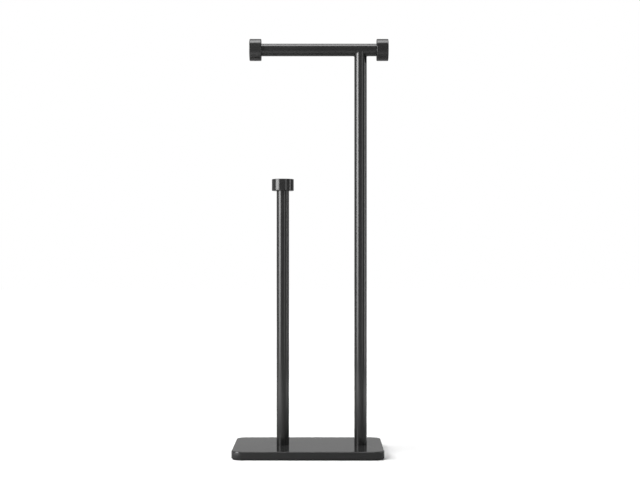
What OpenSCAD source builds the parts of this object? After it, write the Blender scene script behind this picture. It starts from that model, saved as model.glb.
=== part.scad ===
// Freestanding toilet paper stand: a roll bar on a tall post, and a shorter post for spare rolls.
// The origin is the centre of the base on the floor. +Z is up, +X runs along the roll bar
// towards the tall post, and the front of the stand faces -Y.

/* [Base] */
// Width of the base, left to right
base_w = 190; // [180:1:240]
// Depth of the base, front to back
base_d = 135; // [110:1:180]
// Radius of the base's corners, seen from above
base_corner_r = 13.5; // [8:0.5:24]
// Height of the pressed cover
cover_h = 9.25; // [9:0.25:14]
// Sheet thickness of the pressed cover
cover_wall = 1.2; // [0.8:0.1:1.6]
// Outer radius of the cover's top edge
cover_edge_r = 1.5; // [1:0.1:3]
// Thickness of the foam pad under the base
pad_t = 1.5; // [1:0.25:3]
// How far the pad stays inside the cover's outline
pad_inset = 1.5; // [0.5:0.25:4]
// Space between the ballast plate and the cover's walls
ballast_gap = 0.5; // [0.2:0.1:1.5]
// Metal left above each screw well in the ballast plate
well_web = 2; // [1.5:0.1:2.5]

/* [Posts] */
// Outer diameter of the tube of both posts and the bar
tube_d = 16; // [14:0.5:19]
// Wall thickness of the tube
tube_wall = 1.2; // [0.8:0.1:1.6]
// Distance of the tall post's axis from the base's right end
tall_post_inset = 28; // [20:0.5:40]
// Distance between the axes of the two posts
post_spacing = 99.5; // [80:0.5:120]
// Height of the bar's axis above the base's top
bar_rise = 505; // [460:1:600]
// Free length of the reserve post, for three spare rolls
reserve_free = 324.5; // [230:0.5:360]

/* [Roll bar] */
// Free length of the bar for the roll in use
roll_space = 119; // [110:1:140]
// Free length of the bar past the tall post
bar_tail = 12.5; // [6:0.5:30]
// Gap left for the weld where the tall post meets the bar
weld_gap = 0.05; // [0.02:0.01:0.1]

/* [End caps] */
// Diameter of the end caps, which pass through a roll's core
cap_d = 28; // [24:0.5:36]
// Length of the end caps
cap_l = 15; // [14:0.5:22]
// Radius of the caps' edges
cap_edge_r = 0.8; // [0.4:0.1:1.5]
// Depth of the socket in a cap that hides the tube's end
cap_socket_l = 1.5; // [1:0.25:2.5]
// Radial space between a cap's socket and the tube
cap_socket_gap = 0.1; // [0.05:0.05:0.3]

/* [Fixings] */
// Thread diameter of the screws and studs
thread_d = 6; // [5:0.5:6.5]
// Radial space in the threaded bores
thread_gap = 0.05; // [0.02:0.01:0.1]
// Length of a threaded plug in a tube's end
plug_l = 14; // [13:0.5:20]
// Radial space between a plug and its tube
plug_gap = 0.05; // [0.02:0.01:0.1]
// Length of screw thread that goes into a base plug
screw_reach = 11; // [8:0.5:12]
// Diameter of the screw's button head
screw_head_d = 10.5; // [9.5:0.25:11.5]
// Height of the screw's button head
screw_head_h = 3.3; // [2.8:0.1:3.5]
// Height of the straight rim of the button head
screw_rim_h = 0.8; // [0.5:0.1:1.2]
// Width across the flats of the screw's hexagonal socket
screw_key = 4; // [3:0.5:4.5]
// Depth of the screw's hexagonal socket
screw_key_h = 2; // [1.5:0.1:2.4]
// Outer diameter of the flat washers
washer_d = 12; // [11.5:0.25:13]
// Thickness of the flat washers
washer_t = 1.2; // [1:0.1:1.6]
// Outer diameter of the split spring washers
spring_d = 11; // [10.5:0.25:11.5]
// Thickness of the split spring washers
spring_t = 1.5; // [1.2:0.1:1.8]
// Width of the cut through a spring washer
spring_split = 1; // [0.5:0.1:2]
// Radial space between a washer's hole and the screw
washer_gap = 0.2; // [0.1:0.05:0.4]
// Radial space round the washers in the ballast plate's wells
well_gap = 0.8; // [0.5:0.1:1.5]
// Length of a stud inside its cap
stud_in_cap = 8; // [6:0.5:9]
// Length of a stud inside its plug
stud_in_plug = 9; // [6:0.5:12]
// Width across the flats of a stud's hexagonal socket
stud_key = 3; // [2:0.5:3]
// Depth of a stud's hexagonal socket
stud_key_h = 2.5; // [2:0.25:4]

/* [Hidden] */
$fn = 96;

// Overrun of every cut past the face that it opens
overrun = 1;
// Smallest inner radius that the press leaves in the cover's edge
press_r = 0.2;
// Bevel on the leading ends of plugs, screws and studs
lead_bevel = 0.6;
// Space past the tip of a stud in a cap's blind hole
tip_gap = 0.5;
// Margin of the pad's holes round the ballast plate's wells
pad_hole_margin = 0.5;
// Slope of the cut through a spring washer
spring_slope = 20;

// Heights above the floor
base_top = pad_t + cover_h;
seat_top = base_top - cover_wall;
well_top = seat_top - well_web;
screw_seat = well_top - washer_t - spring_t;
bar_z = base_top + bar_rise;
reserve_cap_z = base_top + reserve_free;

// Places of the posts, and of the inner faces of the bar's two caps
tall_post_x = base_w / 2 - tall_post_inset;
reserve_post_x = tall_post_x - post_spacing;
left_cap_x = tall_post_x - tube_d / 2 - roll_space;
right_cap_x = tall_post_x + tube_d / 2 + bar_tail;

// Sizes that pieces share where they fit together
tube_bore = tube_d - 2 * tube_wall;
cover_inner_r = max(cover_edge_r - cover_wall, press_r);
ballast_h = cover_h - cover_wall;
ballast_inset = cover_wall + ballast_gap;
well_d = washer_d + 2 * well_gap;
thread_bore = thread_d + 2 * thread_gap;
washer_bore = thread_d + 2 * washer_gap;
screw_l = spring_t + washer_t + well_web + cover_wall + screw_reach;
post_places = [tall_post_x, reserve_post_x];

// Rectangle with round corners, centred on the origin
module rounded_rect(w, d, r) {
    square([w - 2 * r, d], center = true);
    square([w, d - 2 * r], center = true);
    for (x = [-1, 1], y = [-1, 1])
        translate([x * (w / 2 - r), y * (d / 2 - r)])
            circle(r);
}

// Section of a slab's border: upright outside, with its top edge rolled over
module border_section(reach, h, edge_r) {
    square([reach, h - edge_r]);
    square([reach - edge_r, h]);
    translate([reach - edge_r, h - edge_r])
        circle(edge_r);
}

// Slab with round corners and a rolled top edge: the border's section is
// run along the four sides, turned round the four corners and filled in
module rolled_slab(w, d, h, corner_r, edge_r) {
    flat_w = w - 2 * corner_r;
    flat_d = d - 2 * corner_r;
    translate([-flat_w / 2, -flat_d / 2, 0])
        cube([flat_w, flat_d, h]);
    for (half = [0, 180])
        rotate(half) {
            translate([flat_w / 2, 0, 0])
                rotate([90, 0, 0])
                    linear_extrude(flat_d, center = true)
                        border_section(corner_r, h, edge_r);
            translate([0, flat_d / 2, 0])
                rotate([90, 0, 90])
                    linear_extrude(flat_w, center = true)
                        border_section(corner_r, h, edge_r);
            translate([flat_w / 2, flat_d / 2, 0])
                rotate_extrude(angle = 90)
                    border_section(corner_r, h, edge_r);
            translate([-flat_w / 2, flat_d / 2, 0])
                rotate(90)
                    rotate_extrude(angle = 90)
                        border_section(corner_r, h, edge_r);
        }
}

// Length of tube that stands on the origin
module tube(l) {
    difference() {
        cylinder(d = tube_d, h = l);
        translate([0, 0, -overrun])
            cylinder(d = tube_bore, h = l + 2 * overrun);
    }
}

// Round bar of diameter d from z = 0 to z = l, with its far end bevelled
module bevelled_bar(d, l) {
    rotate_extrude()
        polygon([
            [0, 0],
            [d / 2, 0],
            [d / 2, l - lead_bevel],
            [d / 2 - lead_bevel, l],
            [0, l]
        ]);
}

// Hexagonal key socket that opens at z = 0 and goes down by its depth
module key_socket(across_flats, depth) {
    translate([0, 0, -depth])
        cylinder(d = across_flats / cos(30), h = depth + overrun, $fn = 6);
}

// Threaded plug: its face is flush with the tube's end at z = 0, and it reaches
// into the tube along -Z
module threaded_plug() {
    difference() {
        mirror([0, 0, 1])
            bevelled_bar(tube_bore - 2 * plug_gap, plug_l);
        translate([0, 0, -plug_l - overrun])
            cylinder(d = thread_bore, h = plug_l + 2 * overrun);
    }
}

// Headless stud across the joint at z = 0, with its key socket in the lower end
module joint_stud() {
    difference() {
        union() {
            bevelled_bar(thread_d, stud_in_cap);
            mirror([0, 0, 1])
                bevelled_bar(thread_d, stud_in_plug);
        }
        translate([0, 0, -stud_in_plug])
            mirror([0, 0, 1])
                key_socket(stud_key, stud_key_h);
    }
}

// Cap for a tube's end: the tube sits in a shallow socket whose floor is at
// z = 0, and a stud goes into the blind hole above it
module end_cap() {
    difference() {
        translate([0, 0, -cap_socket_l])
            rotate_extrude() {
                translate([0, cap_edge_r])
                    square([cap_d / 2, cap_l - 2 * cap_edge_r]);
                square([cap_d / 2 - cap_edge_r, cap_l]);
                for (y = [cap_edge_r, cap_l - cap_edge_r])
                    translate([cap_d / 2 - cap_edge_r, y])
                        circle(cap_edge_r);
            }
        translate([0, 0, -cap_socket_l - overrun])
            cylinder(r = tube_d / 2 + cap_socket_gap, h = cap_socket_l + overrun);
        translate([0, 0, -overrun])
            cylinder(d = thread_bore, h = stud_in_cap + tip_gap + overrun);
    }
}

// Button-head screw: the head hangs below z = 0 and the shank rises from it
module button_screw() {
    dome_h = screw_head_h - screw_rim_h;
    dome_r = (pow(screw_head_d / 2, 2) + pow(dome_h, 2)) / (2 * dome_h);
    bevelled_bar(thread_d, screw_l);
    difference() {
        intersection() {
            translate([0, 0, -screw_head_h])
                cylinder(d = screw_head_d, h = screw_head_h);
            translate([0, 0, dome_r - screw_head_h])
                sphere(dome_r);
        }
        translate([0, 0, -screw_head_h])
            mirror([0, 0, 1])
                key_socket(screw_key, screw_key_h);
    }
}

// Flat ring that stands on z = 0
module ring(outer_d, t) {
    difference() {
        cylinder(d = outer_d, h = t);
        translate([0, 0, -overrun])
            cylinder(d = washer_bore, h = t + 2 * overrun);
    }
}

// Spring washer: a ring with a sloping cut through one side
module split_ring() {
    difference() {
        ring(spring_d, spring_t);
        translate([spring_d / 2, 0, spring_t / 2])
            rotate([spring_slope, 0, 0])
                cube([spring_d, spring_split, 2 * spring_t + 2 * overrun], center = true);
    }
}

// Places for what sits at a tube's end, with +Z pointing out of the tube
module at_bar_left() {
    translate([left_cap_x - cap_socket_l, 0, bar_z])
        rotate([0, -90, 0])
            children();
}

module at_bar_right() {
    translate([right_cap_x + cap_socket_l, 0, bar_z])
        rotate([0, 90, 0])
            children();
}

module at_reserve_top() {
    translate([reserve_post_x, 0, reserve_cap_z + cap_socket_l])
        children();
}

module at_foot(x) {
    translate([x, 0, base_top])
        rotate([180, 0, 0])
            children();
}

// Base
module base_cover() {
    color("#303232")
        difference() {
            translate([0, 0, pad_t])
                rolled_slab(base_w, base_d, cover_h, base_corner_r, cover_edge_r);
            translate([0, 0, pad_t - overrun])
                rolled_slab(
                    base_w - 2 * cover_wall,
                    base_d - 2 * cover_wall,
                    ballast_h + overrun,
                    base_corner_r - cover_wall,
                    cover_inner_r
                );
            for (x = post_places)
                translate([x, 0, pad_t])
                    cylinder(d = washer_bore, h = cover_h + overrun);
        }
}

module ballast_plate() {
    color("#5a5c5e")
        difference() {
            translate([0, 0, pad_t])
                rolled_slab(
                    base_w - 2 * ballast_inset,
                    base_d - 2 * ballast_inset,
                    ballast_h,
                    base_corner_r - ballast_inset,
                    cover_inner_r
                );
            for (x = post_places)
                translate([x, 0, pad_t - overrun]) {
                    cylinder(d = washer_bore, h = ballast_h + 2 * overrun);
                    cylinder(d = well_d, h = well_top - pad_t + overrun);
                }
        }
}

module base_pad() {
    color("#1b1b1c")
        difference() {
            linear_extrude(pad_t)
                rounded_rect(base_w - 2 * pad_inset, base_d - 2 * pad_inset, base_corner_r - pad_inset);
            for (x = post_places)
                translate([x, 0, -overrun])
                    cylinder(d = well_d + 2 * pad_hole_margin, h = pad_t + 2 * overrun);
        }
}

// Tall post and its fixings
module tall_post() {
    color("#303232")
        difference() {
            translate([tall_post_x, 0, base_top])
                tube(bar_rise);
            translate([tall_post_x, 0, bar_z])
                rotate([0, 90, 0])
                    cylinder(r = tube_d / 2 + weld_gap, h = 2 * tube_d, center = true);
        }
}

module tall_post_base_plug() {
    color("#8d9092")
        at_foot(tall_post_x)
            threaded_plug();
}

module tall_post_screw() {
    color("#9a9da0")
        translate([tall_post_x, 0, screw_seat])
            button_screw();
}

module tall_post_spring_washer() {
    color("#9a9da0")
        translate([tall_post_x, 0, screw_seat])
            split_ring();
}

module tall_post_washer() {
    color("#9a9da0")
        translate([tall_post_x, 0, screw_seat + spring_t])
            ring(washer_d, washer_t);
}

// Reserve post, its fixings and its cap
module reserve_post() {
    color("#303232")
        translate([reserve_post_x, 0, base_top])
            tube(reserve_free + cap_socket_l);
}

module reserve_post_base_plug() {
    color("#8d9092")
        at_foot(reserve_post_x)
            threaded_plug();
}

module reserve_post_screw() {
    color("#9a9da0")
        translate([reserve_post_x, 0, screw_seat])
            button_screw();
}

module reserve_post_spring_washer() {
    color("#9a9da0")
        translate([reserve_post_x, 0, screw_seat])
            split_ring();
}

module reserve_post_washer() {
    color("#9a9da0")
        translate([reserve_post_x, 0, screw_seat + spring_t])
            ring(washer_d, washer_t);
}

module reserve_post_top_plug() {
    color("#8d9092")
        at_reserve_top()
            threaded_plug();
}

module reserve_cap_stud() {
    color("#9a9da0")
        at_reserve_top()
            joint_stud();
}

module reserve_cap() {
    color("#303232")
        at_reserve_top()
            end_cap();
}

// Roll bar, its fixings and its caps
module crossbar() {
    color("#303232")
        at_bar_left()
            mirror([0, 0, 1])
                tube(right_cap_x - left_cap_x + 2 * cap_socket_l);
}

module crossbar_left_plug() {
    color("#8d9092")
        at_bar_left()
            threaded_plug();
}

module crossbar_right_plug() {
    color("#8d9092")
        at_bar_right()
            threaded_plug();
}

module crossbar_left_stud() {
    color("#9a9da0")
        at_bar_left()
            joint_stud();
}

module crossbar_right_stud() {
    color("#9a9da0")
        at_bar_right()
            joint_stud();
}

module crossbar_left_cap() {
    color("#303232")
        at_bar_left()
            end_cap();
}

module crossbar_right_cap() {
    color("#303232")
        at_bar_right()
            end_cap();
}

base_cover();
ballast_plate();
base_pad();
tall_post();
tall_post_base_plug();
tall_post_screw();
tall_post_spring_washer();
tall_post_washer();
reserve_post();
reserve_post_base_plug();
reserve_post_screw();
reserve_post_spring_washer();
reserve_post_washer();
reserve_post_top_plug();
reserve_cap_stud();
reserve_cap();
crossbar();
crossbar_left_plug();
crossbar_right_plug();
crossbar_left_stud();
crossbar_right_stud();
crossbar_left_cap();
crossbar_right_cap();
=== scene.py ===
# Freestanding toilet paper stand: roll bar, reserve post and weighted base in semi-gloss black.
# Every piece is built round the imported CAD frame, in metres: +Z up, front facing -Y.
import math

import bmesh
import bpy
from mathutils import Matrix, Vector


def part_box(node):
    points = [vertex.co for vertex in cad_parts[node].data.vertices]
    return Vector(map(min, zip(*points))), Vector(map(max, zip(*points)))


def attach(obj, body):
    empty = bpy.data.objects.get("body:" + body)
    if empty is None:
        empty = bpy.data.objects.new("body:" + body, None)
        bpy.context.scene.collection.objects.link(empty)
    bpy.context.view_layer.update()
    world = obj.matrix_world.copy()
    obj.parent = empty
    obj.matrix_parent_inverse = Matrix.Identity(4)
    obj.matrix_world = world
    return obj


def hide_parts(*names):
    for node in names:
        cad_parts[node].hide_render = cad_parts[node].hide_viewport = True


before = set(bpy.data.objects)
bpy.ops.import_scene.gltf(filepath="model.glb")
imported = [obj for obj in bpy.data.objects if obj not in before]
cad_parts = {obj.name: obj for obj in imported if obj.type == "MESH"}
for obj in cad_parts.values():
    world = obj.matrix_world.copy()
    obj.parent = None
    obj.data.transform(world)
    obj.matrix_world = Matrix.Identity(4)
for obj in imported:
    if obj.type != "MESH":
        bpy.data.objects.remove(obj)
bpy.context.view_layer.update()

MM = 0.001

# How finely round shapes and rounded edges are divided
SPIN_STEPS = 96
SMALL_STEPS = 48
CORNER_STEPS = 16
BEAD_STEPS = 12
DOME_STEPS = 10
STEPS_PER_PITCH = 6
COVER_EDGE_STEPS = 8
CAP_EDGE_STEPS = 5
BALLAST_EDGE_STEPS = 3
BROKEN_EDGE_STEPS = 2
SHARP_ANGLE = math.radians(32)

# How far apart points may lie and still be taken as in the same place
SAME_POINT = 0.001 * MM
SAME_RING = 0.01 * MM
SAME_CREST = 0.02 * MM

# Sizes that the frame's boxes don't show
TUBE_WALL = 1.2 * MM
TUBE_EDGE_R = 0.25 * MM
COVER_WALL = 1.2 * MM
COVER_EDGE_R = 1.5 * MM
CORNER_R = 13.5 * MM
CAP_EDGE_R = 0.8 * MM
CAP_SOCKET_L = 1.5 * MM
SOCKET_GAP = 0.1 * MM
THREAD_D = 6 * MM
THREAD_PITCH = 1 * MM
THREAD_H = 0.3 * MM
THREAD_BORE = 6.1 * MM
WASHER_BORE = 6.4 * MM
FASTENER_EDGE_R = 0.15 * MM
WELL_D = 13.6 * MM
PAD_HOLE_MARGIN = 0.5 * MM
BALLAST_EDGE_R = 0.4 * MM
SCREW_HEAD_H = 3.3 * MM
SCREW_RIM_H = 0.8 * MM
SCREW_KEY = 4 * MM
SCREW_KEY_H = 2 * MM
SCREW_MOUTH_MARGIN = 0.3 * MM
SCREW_PLAIN_L = 3 * MM
STUD_KEY = 3 * MM
STUD_KEY_H = 2.5 * MM
STUD_MOUTH_MARGIN = 0.2 * MM
STUD_IN_CAP = 8 * MM
STUD_IN_PLUG = 9 * MM
TIP_GAP = 0.5 * MM
LEAD_BEVEL = 0.6 * MM
SPLIT_W = 1 * MM
SPLIT_SLOPE = math.radians(20)
WELD_GAP = 0.05 * MM
WELD_BEAD_R = 0.7 * MM
WELD_BEAD_LEAST = 0.12


def low(node, axis):
    """Lowest coordinate of a CAD node along an axis."""
    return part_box(node)[0][axis]


def high(node, axis):
    """Highest coordinate of a CAD node along an axis."""
    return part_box(node)[1][axis]


def size(node, axis):
    """Size of a CAD node along an axis."""
    return high(node, axis) - low(node, axis)


def middle(node, axis):
    """Middle of a CAD node along an axis."""
    return (low(node, axis) + high(node, axis)) / 2


# Places and sizes read from the frame
X, Y, Z = 0, 1, 2
TALL_X = middle("tall_post", X)
RESERVE_X = middle("reserve_post", X)
POST_PLACES = (TALL_X, RESERVE_X)
BAR_Z = middle("crossbar", Z)
BAR_LEFT = low("crossbar", X)
BAR_RIGHT = high("crossbar", X)
RESERVE_TOP = high("reserve_post", Z)
TUBE_R = size("crossbar", Z) / 2
BORE_R = TUBE_R - TUBE_WALL
PAD_T = size("base_pad", Z)
BASE_TOP = high("base_cover", Z)
BASE_W = size("base_cover", X)
BASE_D = size("base_cover", Y)
CAP_R = size("reserve_cap", X) / 2
CAP_L = size("reserve_cap", Z)
PLUG_R = size("tall_post_base_plug", X) / 2
PLUG_L = size("tall_post_base_plug", Z)
WELL_TOP = high("tall_post_washer", Z)


# Materials

def srgb(hex_colour):
    """Linear RGBA of an sRGB hex colour."""
    channels = [int(hex_colour[i:i + 2], 16) / 255 for i in (1, 3, 5)]
    linear = [c / 12.92 if c <= 0.04045 else ((c + 0.055) / 1.055) ** 2.4 for c in channels]
    return (*linear, 1)


def add_node(tree, kind, settings=None, inputs=None, links=None, stops=None):
    """Adds a node, sets its properties, sockets and colour stops, and links into it."""
    node = tree.nodes.new(kind)
    for key, value in (settings or {}).items():
        setattr(node, key, value)
    for key, value in (inputs or {}).items():
        node.inputs[key].default_value = value
    for key, socket in (links or {}).items():
        tree.links.new(socket, node.inputs[key])
    if stops:
        elements = node.color_ramp.elements
        elements[0].position, elements[0].color = stops[0]
        elements[1].position, elements[1].color = stops[-1]
        for position, colour in stops[1:-1]:
            elements.new(position).color = colour
    return node


def new_tree(owner):
    """Empty node tree of a material, world or light."""
    owner.use_nodes = True
    owner.node_tree.nodes.clear()
    return owner.node_tree


def new_surface(name, shader_inputs):
    """Material with a surface shader, whose even values are set on its sockets.
    Returns the material, its tree, its shader and the object's own coordinates."""
    material = bpy.data.materials.new(name)
    tree = new_tree(material)
    shader = add_node(tree, "ShaderNodeBsdfPrincipled", inputs=shader_inputs)
    add_node(tree, "ShaderNodeOutputMaterial", links={"Surface": shader.outputs["BSDF"]})
    place = add_node(tree, "ShaderNodeTexCoord").outputs["Object"]
    return material, tree, shader, place


def powder_coat():
    """Baked semi-gloss polyester powder: near black, a weak but sharp reflection, and an
    orange peel so shallow that it only softens the edges of the highlights."""
    material, tree, shader, place = new_surface("polyester_powder_black", {
        "IOR": 1.5, "Specular IOR Level": 0.0,
        "Coat Weight": 0.36, "Coat IOR": 1.5, "Coat Roughness": 0.09,
    })
    # The film thickness drifts over a hand's width, and the pigment over a millimetre
    drift = add_node(
        tree, "ShaderNodeTexNoise", links={"Vector": place},
        inputs={"Scale": 1 / (70 * MM), "Detail": 3, "Roughness": 0.6})
    pigment = add_node(
        tree, "ShaderNodeTexNoise", links={"Vector": place},
        inputs={"Scale": 1 / (1.1 * MM), "Detail": 2, "Roughness": 0.6})
    peel = add_node(
        tree, "ShaderNodeTexNoise", links={"Vector": place},
        inputs={"Scale": 1 / (2.4 * MM), "Detail": 1.5, "Roughness": 0.4})
    film = add_node(
        tree, "ShaderNodeValToRGB", links={"Fac": drift.outputs["Fac"]},
        stops=[(0.3, srgb("#222222")), (0.7, srgb("#262626"))])
    fleck_share = add_node(
        tree, "ShaderNodeMapRange", links={"Value": pigment.outputs["Fac"]},
        inputs={"From Min": 0.6, "From Max": 0.75, "To Max": 0.3})
    colour = add_node(
        tree, "ShaderNodeMix", {"data_type": "RGBA"}, {"B": srgb("#303030")},
        {"Factor": fleck_share.outputs["Result"], "A": film.outputs["Color"]})
    haze = add_node(
        tree, "ShaderNodeMapRange", links={"Value": drift.outputs["Fac"]},
        inputs={"From Min": 0.3, "From Max": 0.7, "To Min": 0.44, "To Max": 0.56})
    skin = add_node(
        tree, "ShaderNodeBump", inputs={"Distance": 0.003 * MM},
        links={"Height": peel.outputs["Fac"]})
    tree.links.new(colour.outputs["Result"], shader.inputs["Base Color"])
    tree.links.new(haze.outputs["Result"], shader.inputs["Roughness"])
    tree.links.new(skin.outputs["Normal"], shader.inputs["Normal"])
    tree.links.new(skin.outputs["Normal"], shader.inputs["Coat Normal"])
    return material


def closed_cell_foam():
    """Die-cut EVA foam sheet: dead matt charcoal, with the small open cells of a skived face,
    painted darker down in each cell as shade.
    """
    material, tree, shader, place = new_surface(
        "eva_foam_charcoal", {"IOR": 1.48, "Specular IOR Level": 0.25})
    cells = add_node(
        tree, "ShaderNodeTexVoronoi", links={"Vector": place}, inputs={"Scale": 1 / (0.9 * MM)})
    scuff = add_node(
        tree, "ShaderNodeTexNoise", links={"Vector": place},
        inputs={"Scale": 1 / (25 * MM), "Detail": 3, "Roughness": 0.6})
    # Painted shade: the colour darkens towards the bottom of each cell pit
    cell_pit_shade_colour = add_node(
        tree, "ShaderNodeValToRGB", links={"Fac": cells.outputs["Distance"]},
        stops=[(0.05, srgb("#101011")), (0.35, srgb("#1c1c1d")), (0.7, srgb("#252527"))])
    dust_share = add_node(
        tree, "ShaderNodeMapRange", links={"Value": scuff.outputs["Fac"]},
        inputs={"From Min": 0.4, "From Max": 0.75, "To Max": 0.25})
    colour = add_node(
        tree, "ShaderNodeMix", {"data_type": "RGBA"}, {"B": srgb("#383736")},
        {"Factor": dust_share.outputs["Result"], "A": cell_pit_shade_colour.outputs["Color"]})
    rough = add_node(
        tree, "ShaderNodeMapRange", links={"Value": scuff.outputs["Fac"]},
        inputs={"To Min": 0.82, "To Max": 0.95})
    pits = add_node(
        tree, "ShaderNodeBump", inputs={"Distance": 0.12 * MM},
        links={"Height": cells.outputs["Distance"]})
    tree.links.new(colour.outputs["Result"], shader.inputs["Base Color"])
    tree.links.new(rough.outputs["Result"], shader.inputs["Roughness"])
    tree.links.new(pits.outputs["Normal"], shader.inputs["Normal"])
    return material


def sand_cast_iron():
    """Grey iron as it left the sand: dull, grainy, with browner patches of thin rust."""
    material, tree, shader, place = new_surface("grey_iron_as_cast", {"Metallic": 1.0})
    grain = add_node(
        tree, "ShaderNodeTexNoise", links={"Vector": place},
        inputs={"Scale": 1 / (0.8 * MM), "Detail": 5, "Roughness": 0.65})
    patches = add_node(
        tree, "ShaderNodeTexNoise", links={"Vector": place},
        inputs={"Scale": 1 / (14 * MM), "Detail": 4, "Roughness": 0.6})
    colour = add_node(
        tree, "ShaderNodeValToRGB", links={"Fac": patches.outputs["Fac"]},
        stops=[(0.3, srgb("#4a4a4b")), (0.55, srgb("#5c5b5a")), (0.75, srgb("#675f57"))])
    rough = add_node(
        tree, "ShaderNodeMapRange", links={"Value": grain.outputs["Fac"]},
        inputs={"To Min": 0.55, "To Max": 0.8})
    sand_marks = add_node(
        tree, "ShaderNodeBump", inputs={"Distance": 0.15 * MM},
        links={"Height": grain.outputs["Fac"]})
    tree.links.new(colour.outputs["Color"], shader.inputs["Base Color"])
    tree.links.new(rough.outputs["Result"], shader.inputs["Roughness"])
    tree.links.new(sand_marks.outputs["Normal"], shader.inputs["Normal"])
    return material


def turned_metal(name, colours, roughness, groove, depth):
    """Lathe-turned or rolled metal: fine rings round the axis, read from how far each
    point lies along the turned outline, and slow cloudy changes of tone and polish."""
    material, tree, shader, place = new_surface(name, {"Metallic": 1.0})
    run = add_node(tree, "ShaderNodeAttribute", {"attribute_name": "outline_run"})
    cloud = add_node(
        tree, "ShaderNodeTexNoise", links={"Vector": place},
        inputs={"Scale": 1 / (5 * MM), "Detail": 3, "Roughness": 0.6})
    ring_angle = add_node(
        tree, "ShaderNodeMath", {"operation": "MULTIPLY_ADD"}, {1: 2 * math.pi / groove},
        {0: run.outputs["Fac"], 2: cloud.outputs["Fac"]})
    rings = add_node(
        tree, "ShaderNodeMath", {"operation": "SINE"}, links={0: ring_angle.outputs["Value"]})
    colour = add_node(
        tree, "ShaderNodeValToRGB", links={"Fac": cloud.outputs["Fac"]},
        stops=[(0.3, srgb(colours[0])), (0.7, srgb(colours[1]))])
    rough = add_node(
        tree, "ShaderNodeMapRange", links={"Value": cloud.outputs["Fac"]},
        inputs={"From Min": 0.3, "From Max": 0.7, "To Min": roughness[0], "To Max": roughness[1]})
    tool_marks = add_node(
        tree, "ShaderNodeBump", inputs={"Distance": depth},
        links={"Height": rings.outputs["Value"]})
    tree.links.new(colour.outputs["Color"], shader.inputs["Base Color"])
    tree.links.new(rough.outputs["Result"], shader.inputs["Roughness"])
    tree.links.new(tool_marks.outputs["Normal"], shader.inputs["Normal"])
    return material


POWDER = powder_coat()
FOAM = closed_cell_foam()
IRON = sand_cast_iron()
# Free-cutting steel, turned and left bare: mid grey with visible tool rings
TURNED = turned_metal(
    "mild_steel_turned", colours=("#8d9092", "#a3a5a6"), roughness=(0.3, 0.42),
    groove=0.25 * MM, depth=0.004 * MM)
# Bright zinc plate with a clear passivate: bluish white, cloudy, smoother than turned steel
ZINC = turned_metal(
    "zinc_plate_bright", colours=("#b4b9be", "#c9c7bb"), roughness=(0.22, 0.34),
    groove=0.4 * MM, depth=0.002 * MM)


# Mesh tools

def upright(x, y, z):
    """Places a piece made round +Z at a point."""
    return Matrix.Translation((x, y, z))


def turned_to(x, y, z, direction):
    """Places a piece made round +Z at a point, with +Z turned to a direction."""
    turn = Vector((0, 0, 1)).rotation_difference(Vector(direction)).to_matrix().to_4x4()
    return Matrix.Translation((x, y, z)) @ turn


def new_object(bm, name):
    """Object with a bmesh's shape, linked to the scene."""
    mesh = bpy.data.meshes.new(name)
    bm.to_mesh(mesh)
    bm.free()
    item = bpy.data.objects.new(name, mesh)
    bpy.context.scene.collection.objects.link(item)
    return item


def finish(bm, name, node, material, place=None):
    """Turns a bmesh into a finished piece. It stands for a CAD node, if one is given."""
    if place is not None:
        bmesh.ops.transform(bm, matrix=place, verts=bm.verts)
    for face in bm.faces:
        face.smooth = True
    for edge in bm.edges:
        if len(edge.link_faces) == 2 and edge.calc_face_angle(0) > SHARP_ANGLE:
            edge.smooth = False
    piece = new_object(bm, name)
    piece.data.materials.append(material)
    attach(piece, "root")
    if node:
        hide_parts(node)
    return piece


def even_shading(piece):
    """Weights the shading by face size, so that flats stay flat up to their soft edges."""
    shading = piece.modifiers.new("even_shading", "WEIGHTED_NORMAL")
    shading.keep_sharp = True


def close_up(bm):
    """Merges doubles and points every face outwards."""
    bmesh.ops.remove_doubles(bm, verts=bm.verts, dist=SAME_POINT)
    bmesh.ops.recalc_face_normals(bm, faces=bm.faces)


def open_rim(bm):
    """Edges round the open side of a mesh."""
    return [edge for edge in bm.edges if edge.is_boundary]


def verts_among(items):
    """The vertices among the items that an operator made."""
    return [item for item in items if isinstance(item, bmesh.types.BMVert)]


def soften(bm, edges, radius, segments):
    """Rounds edges over."""
    bmesh.ops.bevel(
        bm, geom=edges, offset=radius, segments=segments, profile=0.5,
        affect="EDGES", material=-1, clamp_overlap=True)


def soften_rings(bm, corners, radius, segments):
    """Rounds over the rings that lie at the given (radius, height) corners."""
    rings = []
    for edge in bm.edges:
        ends = [(math.hypot(vert.co.x, vert.co.y), vert.co.z) for vert in edge.verts]
        for corner in corners:
            if all(math.dist(end, corner) < SAME_RING for end in ends):
                rings.append(edge)
    soften(bm, rings, radius, segments)


def spin_outline(outline, steps):
    """Spins a list of (radius, height) points round Z. Each point keeps how far it
    lies along the outline, for the tool marks."""
    bm = bmesh.new()
    run_layer = bm.verts.layers.float.new("outline_run")
    verts = []
    run = 0.0
    for i, point in enumerate(outline):
        if i:
            run += math.dist(outline[i - 1], point)
        vert = bm.verts.new((point[0], 0, point[1]))
        vert[run_layer] = run
        verts.append(vert)
    edges = [bm.edges.new(pair) for pair in zip(verts, verts[1:])]
    bmesh.ops.spin(
        bm, geom=verts + edges, cent=(0, 0, 0), axis=(0, 0, 1),
        angle=2 * math.pi, steps=steps, use_merge=True, use_duplicate=False)
    close_up(bm)
    return bm


def key_mouth_radius(across_flats, margin):
    """Radius of the round mouth of a hexagon socket, a margin past its corners."""
    return across_flats / 2 / math.cos(math.pi / 6) + margin


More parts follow.
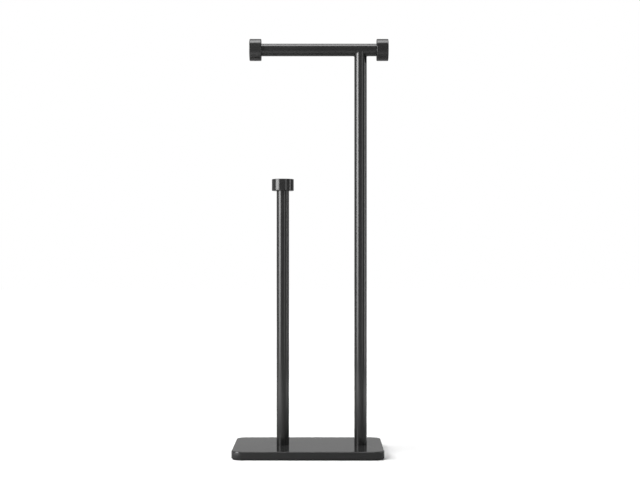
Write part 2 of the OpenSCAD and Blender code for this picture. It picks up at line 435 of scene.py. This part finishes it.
def sink_key_socket(bm, across_flats, depth):
    """Draws the open rim in to a hexagon, sinks it upwards by a depth and closes it."""
    mouth = bmesh.ops.extrude_edge_only(bm, edges=open_rim(bm))["geom"]
    for vert in verts_among(mouth):
        angle = math.atan2(vert.co.y, vert.co.x)
        off_flat = angle % (math.pi / 3) - math.pi / 6
        reach = across_flats / 2 / math.cos(off_flat)
        vert.co.x = reach * math.cos(angle)
        vert.co.y = reach * math.sin(angle)
    walls = bmesh.ops.extrude_edge_only(bm, edges=open_rim(bm))["geom"]
    bmesh.ops.translate(bm, vec=(0, 0, depth), verts=verts_among(walls))
    bmesh.ops.contextual_create(bm, geom=open_rim(bm))
    bmesh.ops.recalc_face_normals(bm, faces=bm.faces)


def cut_thread(bm, start, end, crest_r, sink):
    """Draws the wall of a spun shaft or bore along a helix, down from its crest radius.
    sink is negative for a bore, whose roots lie further out. Both ends fade out."""
    for vert in bm.verts:
        radius = math.hypot(vert.co.x, vert.co.y)
        if not start < vert.co.z < end or abs(radius - crest_r) > SAME_CREST:
            continue
        turn = math.atan2(vert.co.y, vert.co.x) / (2 * math.pi)
        phase = (vert.co.z / THREAD_PITCH - turn) % 1
        fade = min(1, (vert.co.z - start) / THREAD_PITCH, (end - vert.co.z) / THREAD_PITCH)
        target = crest_r - sink * abs(2 * phase - 1) * fade
        vert.co.x *= target / radius
        vert.co.y *= target / radius


def stepped(start, end):
    """Heights from start to end, close enough together to draw a thread."""
    count = round(STEPS_PER_PITCH * (end - start) / THREAD_PITCH)
    return [start + (end - start) * i / count for i in range(count + 1)]


def rounded_sheet(width, depth, corner_r, height):
    """Flat rectangular face with round corners, at a height."""
    bm = bmesh.new()
    bmesh.ops.create_grid(bm, x_segments=1, y_segments=1, size=0.5)
    bmesh.ops.scale(bm, vec=(width, depth, 1), verts=bm.verts)
    bmesh.ops.translate(bm, vec=(0, 0, height), verts=bm.verts)
    bmesh.ops.bevel(
        bm, geom=bm.verts[:], offset=corner_r, segments=CORNER_STEPS, profile=0.5,
        affect="VERTICES", material=-1)
    return bm


def punch(bm, height, radius):
    """Punches a round hole at each post through the flat face at a height, and returns
    the rims of the holes."""
    flat = [
        face for face in bm.faces
        if all(abs(vert.co.z - height) < SAME_POINT for vert in face.verts)]
    border = dict.fromkeys(edge for face in flat for edge in face.edges)
    bmesh.ops.delete(bm, geom=flat, context="FACES_ONLY")
    rims = []
    for x in POST_PLACES:
        circle = bmesh.ops.create_circle(
            bm, cap_ends=False, segments=SMALL_STEPS, radius=radius,
            matrix=upright(x, 0, height))["verts"]
        rims.extend(dict.fromkeys(edge for vert in circle for edge in vert.link_edges))
    bmesh.ops.triangle_fill(bm, use_beauty=True, use_dissolve=False, edges=[*border, *rims])
    return rims


def draw_to(bm, edges, height):
    """Draws a loop of edges straight to a height, and returns the new loop."""
    drawn = bmesh.ops.extrude_edge_only(bm, edges=edges)["geom"]
    for vert in verts_among(drawn):
        vert.co.z = height
    return [item for item in drawn if isinstance(item, bmesh.types.BMEdge)]


def join_at_posts(bm, rims):
    """Joins the two rims that lie at each post with a wall or a step."""
    for x in POST_PLACES:
        near = [edge for edge in rims if abs(edge.verts[0].co.x - x) < WELL_D]
        bmesh.ops.bridge_loops(bm, edges=near)


# Base

def make_base_cover():
    """Pressed sheet pan: flat top, rolled edge, upright skirt and two screw holes."""
    bm = rounded_sheet(BASE_W, BASE_D, CORNER_R, BASE_TOP)
    border = open_rim(bm)
    draw_to(bm, border, PAD_T)
    soften(bm, border, COVER_EDGE_R, COVER_EDGE_STEPS)
    punch(bm, BASE_TOP, WASHER_BORE / 2)
    bmesh.ops.recalc_face_normals(bm, faces=bm.faces)
    piece = finish(bm, "base_cover_pressing", "base_cover", POWDER)
    sheet = piece.modifiers.new("sheet_thickness", "SOLIDIFY")
    sheet.thickness = COVER_WALL
    sheet.offset = -1
    sheet.use_even_offset = True
    even_shading(piece)


def make_ballast_plate():
    """Cast plate with a soft top edge, and a stepped well round each screw."""
    top = high("ballast_plate", Z)
    width = size("ballast_plate", X)
    corner_r = CORNER_R - (BASE_W - width) / 2
    bm = rounded_sheet(width, size("ballast_plate", Y), corner_r, top)
    border = open_rim(bm)
    foot = draw_to(bm, border, PAD_T)
    soften(bm, border, BALLAST_EDGE_R, BALLAST_EDGE_STEPS)
    bores = punch(bm, top, WASHER_BORE / 2)
    bmesh.ops.contextual_create(bm, geom=foot)
    wells = punch(bm, PAD_T, WELL_D / 2)
    join_at_posts(bm, draw_to(bm, bores, WELL_TOP) + draw_to(bm, wells, WELL_TOP))
    close_up(bm)
    even_shading(finish(bm, "ballast_casting", "ballast_plate", IRON))


def make_base_pad():
    """Die-cut foam sheet with a hole under each screw well."""
    inset = (BASE_W - size("base_pad", X)) / 2
    hole_r = WELL_D / 2 + PAD_HOLE_MARGIN
    bm = rounded_sheet(size("base_pad", X), size("base_pad", Y), CORNER_R - inset, PAD_T)
    foot = draw_to(bm, open_rim(bm), 0)
    upper = punch(bm, PAD_T, hole_r)
    bmesh.ops.contextual_create(bm, geom=foot)
    lower = punch(bm, 0, hole_r)
    join_at_posts(bm, upper + lower)
    close_up(bm)
    even_shading(finish(bm, "base_pad_sheet", "base_pad", FOAM))


# Tubes

def make_tube(name, node, length, place, top_of=None):
    """Steel tube along +Z with a broken edge at its foot. top_of gives the height of the
    top at a distance across the tube, where it isn't cut square."""
    bm = spin_outline([
        (BORE_R, 0), (TUBE_R, 0), (TUBE_R, length), (BORE_R, length), (BORE_R, 0),
    ], SPIN_STEPS)
    if top_of:
        for vert in (vert for vert in bm.verts if vert.co.z > 0):
            vert.co.z = top_of(vert.co.y)
    soften_rings(bm, [(TUBE_R, 0)], TUBE_EDGE_R, BROKEN_EDGE_STEPS)
    even_shading(finish(bm, name, node, POWDER, place))


def make_tall_post():
    """Tall tube, coped to sit round the underside of the roll bar."""
    foot = low("tall_post", Z)
    saddle_r = TUBE_R + WELD_GAP

    def coped(across):
        return BAR_Z - foot - math.sqrt(saddle_r ** 2 - across ** 2)

    make_tube("tall_post_tube", "tall_post", BAR_Z - foot, upright(TALL_X, 0, foot), coped)


def make_tee_weld():
    """Dressed weld round the coped joint: a small bead that dies out at the front and
    the back, where the walls of the two tubes run into each other."""
    bm = bmesh.new()
    bmesh.ops.create_circle(
        bm, cap_ends=False, segments=BEAD_STEPS, radius=WELD_BEAD_R,
        matrix=upright(TUBE_R, 0, 0) @ Matrix.Rotation(math.pi / 2, 4, "X"))
    bmesh.ops.spin(
        bm, geom=bm.verts[:] + bm.edges[:], cent=(0, 0, 0), axis=(0, 0, 1),
        angle=2 * math.pi, steps=SPIN_STEPS, use_merge=True, use_duplicate=False)
    for vert in bm.verts:
        angle = math.atan2(vert.co.y, vert.co.x)
        side = abs(math.cos(angle))
        bead = WELD_BEAD_LEAST + (1 - WELD_BEAD_LEAST) * side
        out = TUBE_R + (math.hypot(vert.co.x, vert.co.y) - TUBE_R) * bead
        rise = vert.co.z * bead
        vert.co = (out * math.cos(angle), out * math.sin(angle), rise - TUBE_R * side)
    close_up(bm)
    finish(bm, "tee_weld", None, POWDER, upright(TALL_X, 0, BAR_Z))


# Turned pieces, each made round +Z with its tube's end at z = 0

def make_cap(name, node, place):
    """Turned cap with softened edges, a socket for the tube and a blind stud hole."""
    inner = -CAP_SOCKET_L
    outer = CAP_L - CAP_SOCKET_L
    socket_r = TUBE_R + SOCKET_GAP
    hole_r = THREAD_BORE / 2
    hole_end = STUD_IN_CAP + TIP_GAP
    bm = spin_outline([
        (0, outer), (CAP_R / 2, outer), (CAP_R, outer), (CAP_R, inner), (socket_r, inner),
        (socket_r, 0), (hole_r, 0), (hole_r, hole_end), (0, hole_end),
    ], SPIN_STEPS)
    soften_rings(bm, [(CAP_R, outer), (CAP_R, inner)], CAP_EDGE_R, CAP_EDGE_STEPS)
    even_shading(finish(bm, name, node, POWDER, place))


def make_plug(name, node, place):
    """Turned plug with a threaded bore and a bevelled leading end."""
    bore_r = THREAD_BORE / 2
    bore = [(bore_r, z) for z in stepped(-PLUG_L, 0)]
    outside = [
        (PLUG_R, 0), (PLUG_R, LEAD_BEVEL - PLUG_L), (PLUG_R - LEAD_BEVEL, -PLUG_L), bore[0],
    ]
    bm = spin_outline(bore + outside, SMALL_STEPS)
    cut_thread(bm, -PLUG_L, 0, bore_r, -THREAD_H)
    finish(bm, name, node, TURNED, place)


def shank(start, tip):
    """Outline of a threaded shank with a bevelled tip."""
    wall = [(THREAD_D / 2, z) for z in stepped(start, tip - LEAD_BEVEL)]
    return wall + [(THREAD_D / 2 - LEAD_BEVEL, tip), (0, tip)]


def make_stud(name, node, place):
    """Headless stud across the joint, with a key socket in its inner end."""
    inner = -STUD_IN_PLUG
    mouth_r = key_mouth_radius(STUD_KEY, STUD_MOUTH_MARGIN)
    end_face = [(mouth_r, inner), (THREAD_D / 2 - LEAD_BEVEL, inner)]
    bm = spin_outline(end_face + shank(inner + LEAD_BEVEL, STUD_IN_CAP), SMALL_STEPS)
    cut_thread(bm, inner + LEAD_BEVEL, STUD_IN_CAP - LEAD_BEVEL, THREAD_D / 2, THREAD_H)
    sink_key_socket(bm, STUD_KEY, STUD_KEY_H)
    finish(bm, name, node, ZINC, place)


def make_screw(name, node, x):
    """Button-head screw: a domed head with a key socket below z = 0, a shank above."""
    head_r = size(node, X) / 2
    seat = low(node, Z) + SCREW_HEAD_H
    tip = high(node, Z) - seat
    dome_h = SCREW_HEAD_H - SCREW_RIM_H
    dome_r = (head_r ** 2 + dome_h ** 2) / (2 * dome_h)
    mouth_r = key_mouth_radius(SCREW_KEY, SCREW_MOUTH_MARGIN)
    first = math.asin(mouth_r / dome_r)
    last = math.asin(head_r / dome_r)
    dome = []
    for i in range(DOME_STEPS + 1):
        angle = first + (last - first) * i / DOME_STEPS
        dome.append((dome_r * math.sin(angle), dome_r * (1 - math.cos(angle)) - SCREW_HEAD_H))
    bm = spin_outline(dome + [(head_r, 0)] + shank(0, tip), SMALL_STEPS)
    cut_thread(bm, SCREW_PLAIN_L, tip - LEAD_BEVEL, THREAD_D / 2, THREAD_H)
    soften_rings(bm, [(head_r, 0)], FASTENER_EDGE_R, BROKEN_EDGE_STEPS)
    sink_key_socket(bm, SCREW_KEY, SCREW_KEY_H)
    finish(bm, name, node, ZINC, upright(x, 0, seat))


def make_washer(name, node, x):
    """Punched flat washer with soft outer edges."""
    outer_r = size(node, X) / 2
    inner_r = WASHER_BORE / 2
    thick = size(node, Z)
    bm = spin_outline([
        (inner_r, 0), (outer_r, 0), (outer_r, thick), (inner_r, thick), (inner_r, 0),
    ], SMALL_STEPS)
    soften_rings(bm, [(outer_r, 0), (outer_r, thick)], FASTENER_EDGE_R, BROKEN_EDGE_STEPS)
    finish(bm, name, node, ZINC, upright(x, 0, low(node, Z)))


def make_spring_washer(name, node, x):
    """Split spring washer: a square section wound almost all the way round, with its
    two ends cut on a slope."""
    outer_r = size(node, Y) / 2
    inner_r = WASHER_BORE / 2
    thick = size(node, Z)
    half_gap = SPLIT_W / 2 / outer_r
    section = upright((inner_r + outer_r) / 2, 0, thick / 2) @ Matrix.Rotation(math.pi / 2, 4, "X")
    bm = bmesh.new()
    bmesh.ops.create_grid(bm, x_segments=1, y_segments=1, size=0.5)
    bmesh.ops.scale(bm, vec=(outer_r - inner_r, thick, 1), verts=bm.verts)
    bmesh.ops.transform(bm, matrix=section, verts=bm.verts)
    bmesh.ops.spin(
        bm, geom=bm.faces[:], cent=(0, 0, 0), axis=(0, 0, 1),
        angle=2 * math.pi - 2 * half_gap, steps=SMALL_STEPS,
        use_merge=False, use_duplicate=False)
    for vert in bm.verts:
        lean = math.tan(SPLIT_SLOPE) * (vert.co.z - thick / 2) / outer_r
        vert.co.rotate(Matrix.Rotation(half_gap - lean, 3, "Z"))
    close_up(bm)
    finish(bm, name, node, ZINC, upright(x, 0, low(node, Z)))


# Assembly

make_base_cover()
make_ballast_plate()
make_base_pad()

make_tall_post()
make_tee_weld()
make_tube(
    "reserve_post_tube", "reserve_post", size("reserve_post", Z),
    upright(RESERVE_X, 0, low("reserve_post", Z)))
make_tube(
    "crossbar_tube", "crossbar", BAR_RIGHT - BAR_LEFT,
    turned_to(BAR_LEFT, 0, BAR_Z, (1, 0, 0)))

# Cap, plug and stud at each capped end of a tube, and where that end lies
CAPPED_ENDS = (
    ("crossbar_left_cap", "crossbar_left_plug", "crossbar_left_stud",
     turned_to(BAR_LEFT, 0, BAR_Z, (-1, 0, 0))),
    ("crossbar_right_cap", "crossbar_right_plug", "crossbar_right_stud",
     turned_to(BAR_RIGHT, 0, BAR_Z, (1, 0, 0))),
    ("reserve_cap", "reserve_post_top_plug", "reserve_cap_stud",
     upright(RESERVE_X, 0, RESERVE_TOP)),
)
for cap, plug, stud, place in CAPPED_ENDS:
    make_cap(cap + "_turned", cap, place)
    make_plug(plug + "_turned", plug, place)
    make_stud(stud + "_threaded", stud, place)

for post, x in zip(("tall_post", "reserve_post"), POST_PLACES):
    foot_place = turned_to(x, 0, low(post, Z), (0, 0, -1))
    make_plug(post + "_base_plug_turned", post + "_base_plug", foot_place)
    make_screw(post + "_screw_threaded", post + "_screw", x)
    make_washer(post + "_washer_punched", post + "_washer", x)
    make_spring_washer(post + "_spring_washer_split", post + "_spring_washer", x)


# Studio

FLOOR_SIZE = 16
FLOOR_DROP = 0.1 * MM
WINDOW_INSET = 5 * MM
# Close to the stand the floor is white because it is lit, and keeps the shadow. Further
# out its own brightness makes up for the light that fades.
LIFT_START = 0.15
LIFT_END = 2.6
LIFT = 0.97
# Painted pools of glow on the floor, standing in for floor that lamps would burn out, seen only by
# the camera and in reflections, where they paint highlights on the stand: x, y, reach and
# brightness
FLOOR_PAINTED_GLOWS = (
    (-0.8, -0.47, 0.93, 5), (-0.14, -0.1, 0.06, 6), (0, -0.6, 0.5, 0.6),
    (0.65, -0.9, 0.8, 0.8), (0.88, -0.04, 0.75, 3.8),
)
# How bright the surround is where it is seen or reflected, and as light on surfaces
WORLD_SEEN = 1.0
WORLD_FILL = 0.1
# Share of a softbox's width over which each of its sides fades in
SOFT_SIDE = 0.4
STRIP_DISTANCE = 1.3
STRIP_BOTTOM = 0.01


def seen_directly(tree):
    """1 for rays from the camera, from a glossy surface and through glass, else 0."""
    path = add_node(tree, "ShaderNodeLightPath").outputs
    glossy = add_node(
        tree, "ShaderNodeMath", {"operation": "MAXIMUM"},
        links={0: path["Is Camera Ray"], 1: path["Is Glossy Ray"]})
    return add_node(
        tree, "ShaderNodeMath", {"operation": "MAXIMUM"},
        links={0: glossy.outputs["Value"], 1: path["Is Transmission Ray"]}).outputs["Value"]


def make_floor():
    """Plain white floor that keeps the stand's shadow. From below it is clear, and a
    window that the foam pad covers lets light in to the underside."""
    bm = bmesh.new()
    bmesh.ops.create_grid(bm, x_segments=1, y_segments=1, size=FLOOR_SIZE / 2)
    bmesh.ops.translate(bm, vec=(0, 0, -FLOOR_DROP), verts=bm.verts)
    window = bm.faces[:]
    bmesh.ops.inset_region(bm, faces=window, thickness=FLOOR_SIZE / 4, use_boundary=True)
    for vert in window[0].verts:
        vert.co.x = math.copysign(size("base_pad", X) / 2 - WINDOW_INSET, vert.co.x)
        vert.co.y = math.copysign(size("base_pad", Y) / 2 - WINDOW_INSET, vert.co.y)
    bmesh.ops.delete(bm, geom=window, context="FACES")
    floor = new_object(bm, "studio_floor")
    material = bpy.data.materials.new("paper_white")
    # Only reflections and the camera see its own brightness, so it isn't sampled as a lamp
    material.cycles.emission_sampling = "NONE"
    tree = new_tree(material)
    place = add_node(tree, "ShaderNodeTexCoord").outputs["Object"]
    distance = add_node(
        tree, "ShaderNodeVectorMath", {"operation": "LENGTH"}, links={0: place})
    lift = add_node(
        tree, "ShaderNodeMapRange", links={"Value": distance.outputs["Value"]},
        inputs={"From Min": LIFT_START, "From Max": LIFT_END, "To Max": LIFT})
    level = lift.outputs["Result"]
    # Each painted glow pool adds its brightness to the floor's own, as a painted light for
    # reflections
    for x, y, reach, brightness in FLOOR_PAINTED_GLOWS:
        from_painted_glow = add_node(
            tree, "ShaderNodeVectorMath", {"operation": "DISTANCE"}, {1: (x, y, 0)}, {0: place})
        painted_glow = add_node(
            tree, "ShaderNodeMapRange", {"interpolation_type": "SMOOTHSTEP"},
            {"From Min": reach, "From Max": 0, "To Max": brightness},
            {"Value": from_painted_glow.outputs["Value"]})
        level = add_node(
            tree, "ShaderNodeMath", {"operation": "ADD"},
            links={0: level, 1: painted_glow.outputs["Result"]}).outputs["Value"]
    seen_lift_and_glow = add_node(
        tree, "ShaderNodeMath", {"operation": "MULTIPLY"},
        links={0: level, 1: seen_directly(tree)})
    paper = add_node(
        tree, "ShaderNodeBsdfPrincipled",
        inputs={"Base Color": srgb("#efefef"), "Roughness": 0.9, "Specular IOR Level": 0.0,
                "Emission Color": (1, 1, 1, 1)},
        links={"Emission Strength": seen_lift_and_glow.outputs["Value"]})
    clear = add_node(tree, "ShaderNodeBsdfTransparent")
    below = add_node(tree, "ShaderNodeNewGeometry").outputs["Backfacing"]
    either = add_node(
        tree, "ShaderNodeMixShader",
        links={0: below, 1: paper.outputs["BSDF"], 2: clear.outputs["BSDF"]})
    add_node(tree, "ShaderNodeOutputMaterial", links={"Surface": either.outputs["Shader"]})
    floor.data.materials.append(material)


def make_world():
    """White surround for the camera and for reflections, and a softer fill on surfaces."""
    world = bpy.data.worlds.new("studio_surround")
    tree = new_tree(world)
    strength = add_node(
        tree, "ShaderNodeMapRange", links={"Value": seen_directly(tree)},
        inputs={"To Min": WORLD_FILL, "To Max": WORLD_SEEN})
    white = add_node(
        tree, "ShaderNodeBackground", inputs={"Color": (1, 1, 1, 1)},
        links={"Strength": strength.outputs["Result"]})
    add_node(tree, "ShaderNodeOutputWorld", links={"Surface": white.outputs["Background"]})
    bpy.context.scene.world = world


def make_softbox(name, place, target, width, height, radiance, fade=None):
    """Rectangular softbox at a place, turned to a target. radiance is how bright its face
    looks, where 1 is white. fade gives (height share, brightness share) stops, from the
    lower edge to the upper edge."""
    light = bpy.data.lights.new(name, "AREA")
    light.shape = "RECTANGLE"
    light.size = width
    light.size_y = height
    light.energy = radiance * math.pi * width * height
    if fade:
        tree = new_tree(light)
        across = add_node(tree, "ShaderNodeNewGeometry").outputs["Parametric"]
        axes = add_node(tree, "ShaderNodeSeparateXYZ", links={0: across})
        share = add_node(
            tree, "ShaderNodeValToRGB", links={"Fac": axes.outputs["Y"]},
            stops=[(position, (level, level, level, 1)) for position, level in fade])
        # How far in from the nearer side, as a share of the width
        from_side = add_node(
            tree, "ShaderNodeMath", {"operation": "PINGPONG"}, {1: 0.5}, {0: axes.outputs["X"]})
        soft_side = add_node(
            tree, "ShaderNodeMapRange", {"interpolation_type": "SMOOTHSTEP"},
            {"From Max": SOFT_SIDE}, {"Value": from_side.outputs["Value"]})
        glow = add_node(
            tree, "ShaderNodeEmission",
            links={"Color": share.outputs["Color"], "Strength": soft_side.outputs["Result"]})
        add_node(tree, "ShaderNodeOutputLight", links={"Surface": glow.outputs["Emission"]})
    lamp = bpy.data.objects.new(name, light)
    lamp.location = place
    lamp.rotation_euler = (Vector(target) - Vector(place)).to_track_quat("-Z", "Y").to_euler()
    lamp.visible_camera = False
    bpy.context.scene.collection.objects.link(lamp)
    return lamp


def around(bearing, distance, height):
    """Place at a bearing in degrees from the front, positive to the right."""
    angle = math.radians(bearing)
    return (distance * math.sin(angle), -distance * math.cos(angle), height)


def make_strip(name, bearing, degrees_wide, top, radiance, fade):
    """Tall softbox that only draws a highlight down the posts. It adds no light to the
    surfaces, so that the light level stays plain."""
    width = 2 * STRIP_DISTANCE * math.tan(math.radians(degrees_wide / 2))
    centre_height = (STRIP_BOTTOM + top) / 2
    lamp = make_softbox(
        name, around(bearing, STRIP_DISTANCE, centre_height), (0, 0, centre_height),
        width, top - STRIP_BOTTOM, radiance, fade)
    lamp.visible_diffuse = False


make_floor()
make_world()
make_softbox(
    "underside_softbox", place=(0.3, -0.5, -1.1), target=(0, 0, 0),
    width=0.8, height=0.8, radiance=8)

# The lamps above and to the left come in two parts. One lights the surfaces and isn't
# reflected in them, the other is only reflected.
overhead_light = make_softbox(
    "overhead_light", place=(0, 0.38, 2.0), target=(0, 0, BAR_Z),
    width=0.88, height=0.84, radiance=12.8)
overhead_light.visible_glossy = False
overhead_highlight = make_softbox(
    "overhead_highlight", place=(0, 0.15, 1.99), target=(0, 0, BAR_Z),
    width=0.95, height=1.5, radiance=16,
    fade=[(0, 0.1), (0.3, 0.5), (0.5, 0.95), (0.65, 1), (0.8, 0.85), (1, 0.4)])
overhead_highlight.visible_diffuse = False
left_light = make_softbox(
    "left_light", place=around(bearing=-60, distance=1.3, height=1.15), target=(0, 0, 0.1),
    width=1.6, height=1.0, radiance=6.6)
left_light.visible_glossy = False
make_strip(
    "left_highlight", bearing=-59, degrees_wide=55, top=1.4, radiance=34,
    fade=[(0, 0.25), (0.12, 0.5), (0.3, 0.8), (0.6, 1), (1, 1)])

# Two weaker lamps on the right are only reflected
make_strip(
    "right_highlight", bearing=88, degrees_wide=34, top=0.85, radiance=9,
    fade=[(0, 0.95), (0.3, 1), (1, 0.8)])
make_strip(
    "front_right_highlight", bearing=33, degrees_wide=28, top=0.85, radiance=4.2,
    fade=[(0, 0.55), (0.4, 0.9), (1, 1)])


# Camera, matched to the photograph: level, 1.71 m in front of the posts

PHOTO_W = 640
FOCAL_PX = 1336.4
SENSOR_MM = 36
AXIS_DOWN_PX = 10.0
CAMERA_PLACE = (0.0151, -1.712, 0.2525)

camera_data = bpy.data.cameras.new("photo_camera")
camera_data.sensor_width = SENSOR_MM
camera_data.lens = FOCAL_PX / PHOTO_W * SENSOR_MM
camera_data.shift_y = AXIS_DOWN_PX / PHOTO_W
camera = bpy.data.objects.new("photo_camera", camera_data)
camera.location = CAMERA_PLACE
camera.rotation_euler = (math.radians(90), 0, 0)
bpy.context.scene.collection.objects.link(camera)
bpy.context.scene.camera = camera
bpy.context.scene.view_settings.view_transform = "Standard"
